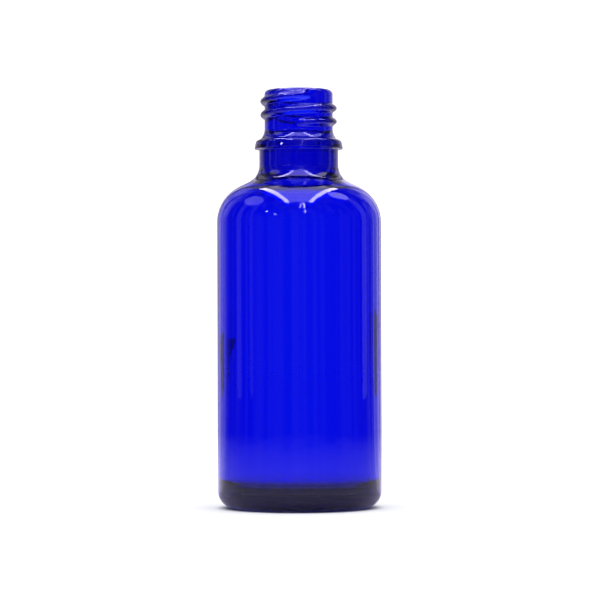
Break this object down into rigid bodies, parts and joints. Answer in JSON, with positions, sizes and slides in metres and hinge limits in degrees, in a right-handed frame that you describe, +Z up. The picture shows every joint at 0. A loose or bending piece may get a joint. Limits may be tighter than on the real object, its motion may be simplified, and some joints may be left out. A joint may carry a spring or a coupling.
{
  "type": "round glass bottle with a screw neck",
  "caption": "Round glass bottle with a threaded neck, a bead for a tamper ring, round shoulders, a thick base and an open bore into one hollow chamber.",
  "frame": {"origin": "centre of the bottle's base, on the plane of the ring that it stands on", "axes": "+Z up the bottle's axis from the base to the mouth; the neck's mould seams lie in the plane of Y and Z, one of them towards -Y"},
  "size_m": [0.037, 0.037, 0.094],
  "materials": {
    "blue_glass": "clear cobalt blue container glass, smooth and glossy"
  },
  "bodies": {
    "root": {"glass_bottle": "blue_glass"}
  },
  "joints": []
}
